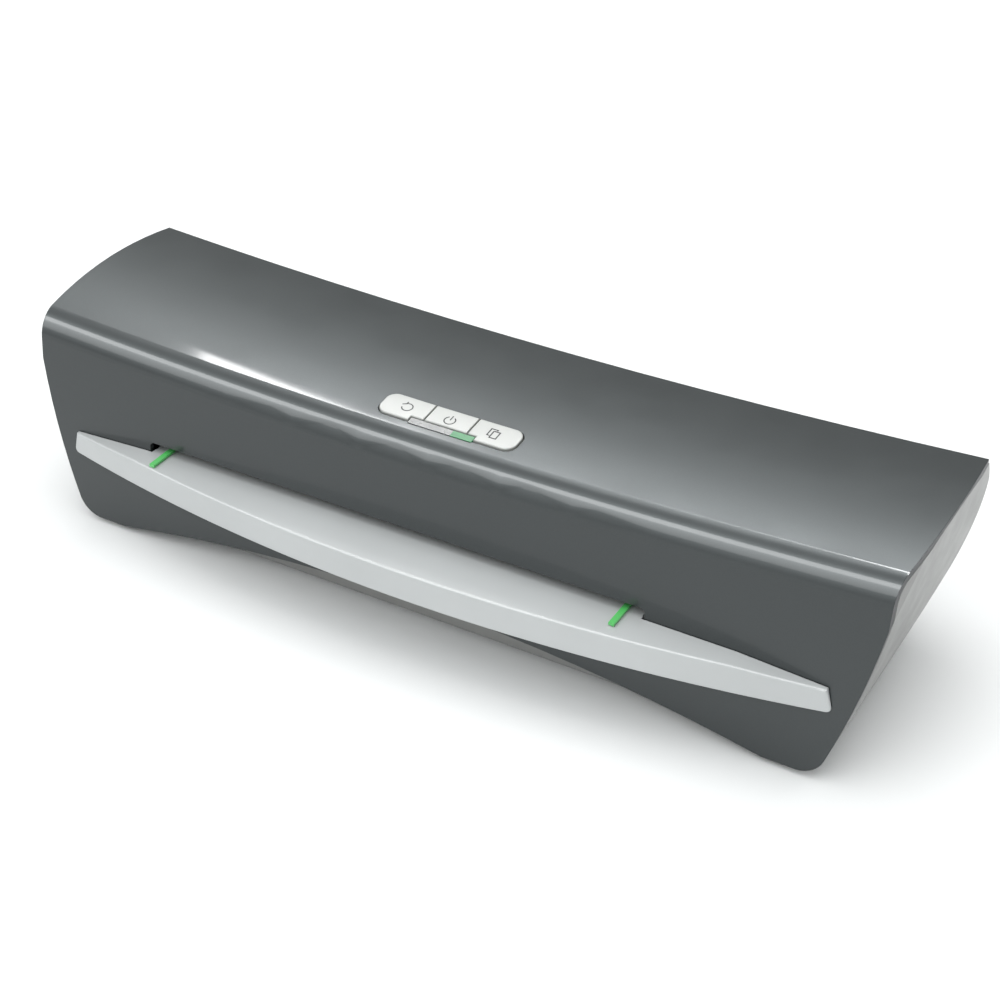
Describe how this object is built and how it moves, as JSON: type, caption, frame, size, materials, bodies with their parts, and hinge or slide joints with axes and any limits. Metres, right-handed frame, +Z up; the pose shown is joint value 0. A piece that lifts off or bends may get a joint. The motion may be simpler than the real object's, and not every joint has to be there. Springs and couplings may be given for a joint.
{
  "type": "pouch laminator",
  "caption": "Desktop pouch laminator: arched cover with front feed slot, crescent feed tray, sliding pouch guides, press buttons and geared hot rollers behind.",
  "frame": {"origin": "middle of the footprint, on the plane the feet stand on", "axes": "+X to the machine's right along its length, +Y from the feed side to the exit side, +Z up"},
  "size_m": [0.3966, 0.137, 0.0982],
  "materials": {
    "cover_grey": "satin metallic grey with a clear gloss coat",
    "cap_silver": "light silver satin",
    "tray_silver": "light silver satin",
    "rear_grey": "fine grained dark grey",
    "button_white": "soft gloss white",
    "guide_green": "translucent bright green",
    "lens_idle": "smoked lens",
    "lens_lit": "green lens, lit",
    "feet_rubber": "matt",
    "screw_steel": "zinc plated",
    "frame_steel": "galvanised sheet",
    "shaft_steel": "ground steel",
    "roller_silicone": "smooth silicone",
    "gear_nylon": "natural nylon",
    "bush_black": "filled nylon",
    "heater_aluminium": "extruded",
    "heater_ceramic": "ceramic rod",
    "bakelite": "moulded",
    "exit_grey": "ribbed dark grey",
    "board_green": "solder mask",
    "board_components": "moulded packages",
    "motor_case": "zinc plated can",
    "inlet_black": "moulded",
    "pin_brass": "plated"
  },
  "bodies": {
    "housing": {"top_cover": "cover_grey", "side_cap_left": "cap_silver", "side_cap_right": "cap_silver", "rear_cover": "rear_grey", "base_housing": "cap_silver", "rubber_feet": "feet_rubber", "base_screws": "screw_steel", "feed_tray": "tray_silver", "guide_carrier": "bush_black", "status_lens_idle": "lens_idle", "status_lens_lit": "lens_lit", "switch_board": "board_green", "tact_switches": "board_components", "frame_left": "frame_steel", "frame_right": "frame_steel", "tie_rods": "screw_steel", "tie_screws": "screw_steel", "roller_bushes": "bush_black", "idler_stud": "screw_steel", "motor_body": "motor_case", "motor_bracket": "frame_steel", "motor_standoffs": "screw_steel", "heater_plate_upper": "heater_aluminium", "heater_plate_lower": "heater_aluminium", "heater_rod_upper": "heater_ceramic", "heater_rod_lower": "heater_ceramic", "heater_brackets": "frame_steel", "thermostat": "bakelite", "heat_shield": "frame_steel", "exit_guide_upper": "exit_grey", "exit_guide_lower": "exit_grey", "main_board": "board_green", "board_standoffs": "screw_steel", "board_parts": "board_components", "power_inlet": "inlet_black", "inlet_pins": "pin_brass"},
    "reverse_button": {"button_reverse": "button_white"},
    "power_button": {"button_power": "button_white"},
    "mode_button": {"button_mode": "button_white"},
    "left_guide": {"pouch_guide_left": "guide_green"},
    "right_guide": {"pouch_guide_right": "guide_green"},
    "guide_gear": {"guide_pinion": "gear_nylon"},
    "roller_front_lower": {"shaft_front_lower": "shaft_steel", "sleeve_front_lower": "roller_silicone", "gear_front_lower": "gear_nylon"},
    "roller_front_upper": {"shaft_front_upper": "shaft_steel", "sleeve_front_upper": "roller_silicone", "gear_front_upper": "gear_nylon"},
    "roller_rear_lower": {"shaft_rear_lower": "shaft_steel", "sleeve_rear_lower": "roller_silicone", "gear_rear_lower": "gear_nylon"},
    "roller_rear_upper": {"shaft_rear_upper": "shaft_steel", "sleeve_rear_upper": "roller_silicone", "gear_rear_upper": "gear_nylon"},
    "idler": {"idler_gear": "gear_nylon"},
    "drive_pinion": {"motor_pinion": "gear_nylon"}
  },
  "joints": [
    {"name": "reverse_button_press", "type": "slide", "parent": "housing", "child": "reverse_button", "axis": [0, 0.1167, -0.9932], "range_m": [0, 0.0012], "stiffness_N_per_m": 400, "springref_m": -0.0015},
    {"name": "power_button_press", "type": "slide", "parent": "housing", "child": "power_button", "axis": [0, 0.1167, -0.9932], "range_m": [0, 0.0012], "stiffness_N_per_m": 400, "springref_m": -0.0015},
    {"name": "mode_button_press", "type": "slide", "parent": "housing", "child": "mode_button", "axis": [0, 0.1167, -0.9932], "range_m": [0, 0.0012], "stiffness_N_per_m": 400, "springref_m": -0.0015},
    {"name": "left_guide_slide", "type": "slide", "parent": "housing", "child": "left_guide", "axis": [1, 0, 0], "range_m": [0, 0.055]},
    {"name": "right_guide_slide", "type": "slide", "parent": "housing", "child": "right_guide", "axis": [-1, 0, 0], "range_m": [0, 0.055]},
    {"name": "guide_gear_spin", "type": "hinge", "parent": "housing", "child": "guide_gear", "pos_m": [-0.0185, -0.0346, 0.0396], "axis": [0, 0, 1], "range_deg": [-530, 0]},
    {"name": "roller_front_lower_spin", "type": "hinge", "parent": "housing", "child": "roller_front_lower", "pos_m": [0, -0.013, 0.037], "axis": [1, 0, 0], "continuous": true},
    {"name": "roller_front_upper_spin", "type": "hinge", "parent": "housing", "child": "roller_front_upper", "pos_m": [0, -0.013, 0.055], "axis": [1, 0, 0], "continuous": true},
    {"name": "roller_rear_lower_spin", "type": "hinge", "parent": "housing", "child": "roller_rear_lower", "pos_m": [0, 0.025, 0.037], "axis": [1, 0, 0], "continuous": true},
    {"name": "roller_rear_upper_spin", "type": "hinge", "parent": "housing", "child": "roller_rear_upper", "pos_m": [0, 0.025, 0.055], "axis": [1, 0, 0], "continuous": true},
    {"name": "idler_spin", "type": "hinge", "parent": "housing", "child": "idler", "pos_m": [0.118, 0.006, 0.037], "axis": [1, 0, 0], "continuous": true},
    {"name": "drive_pinion_spin", "type": "hinge", "parent": "housing", "child": "drive_pinion", "pos_m": [0.118, 0.006, 0.053], "axis": [1, 0, 0], "continuous": true}
  ],
  "couplings": [
    {"joint": "right_guide_slide", "follows": "left_guide_slide", "ratio": 1},
    {"joint": "guide_gear_spin", "follows": "left_guide_slide", "rad_per_m": -166.67},
    {"joint": "roller_front_upper_spin", "follows": "roller_front_lower_spin", "ratio": -1},
    {"joint": "roller_rear_lower_spin", "follows": "roller_front_lower_spin", "ratio": 1},
    {"joint": "roller_rear_upper_spin", "follows": "roller_front_lower_spin", "ratio": -1},
    {"joint": "idler_spin", "follows": "roller_front_lower_spin", "ratio": -0.9},
    {"joint": "drive_pinion_spin", "follows": "roller_front_lower_spin", "ratio": 1.5}
  ]
}
